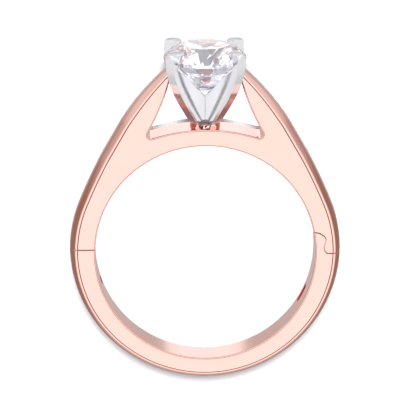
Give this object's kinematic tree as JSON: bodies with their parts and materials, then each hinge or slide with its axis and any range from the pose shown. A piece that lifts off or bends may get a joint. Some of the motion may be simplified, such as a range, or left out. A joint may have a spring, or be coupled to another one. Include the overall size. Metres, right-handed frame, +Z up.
{
  "type": "cathedral setting ring",
  "caption": "Cathedral solitaire finger ring with a hinged lower shank, an S shaped catch seam and a round brilliant held by claws on crossed webs, lying on its side.",
  "frame": {"origin": "on the surface the ring lies on, under the middle of its outline", "axes": "+X to the right of the front face, +Y towards the head along the surface, +Z up from the surface; the ring's finger axis leans from +Z by the small tilt at which it rests"},
  "size_m": [0.0208, 0.0264, 0.0064],
  "materials": {
    "rose_gold": "mirror polished rose gold",
    "white_gold": "mirror polished white gold",
    "stone": "colourless faceted stone"
  },
  "bodies": {
    "upper": {"shank_upper": "rose_gold", "head": "white_gold", "stone": "stone", "hinge_pin": "white_gold"},
    "lower": {"shank_lower": "rose_gold"}
  },
  "joints": [
    {"name": "shank_hinge", "type": "hinge", "parent": "upper", "child": "lower", "pos_m": [-0.00982, -0.00346, 0.0021], "axis": [0, 0.0702, -0.9975], "range_deg": [0, 50]}
  ]
}
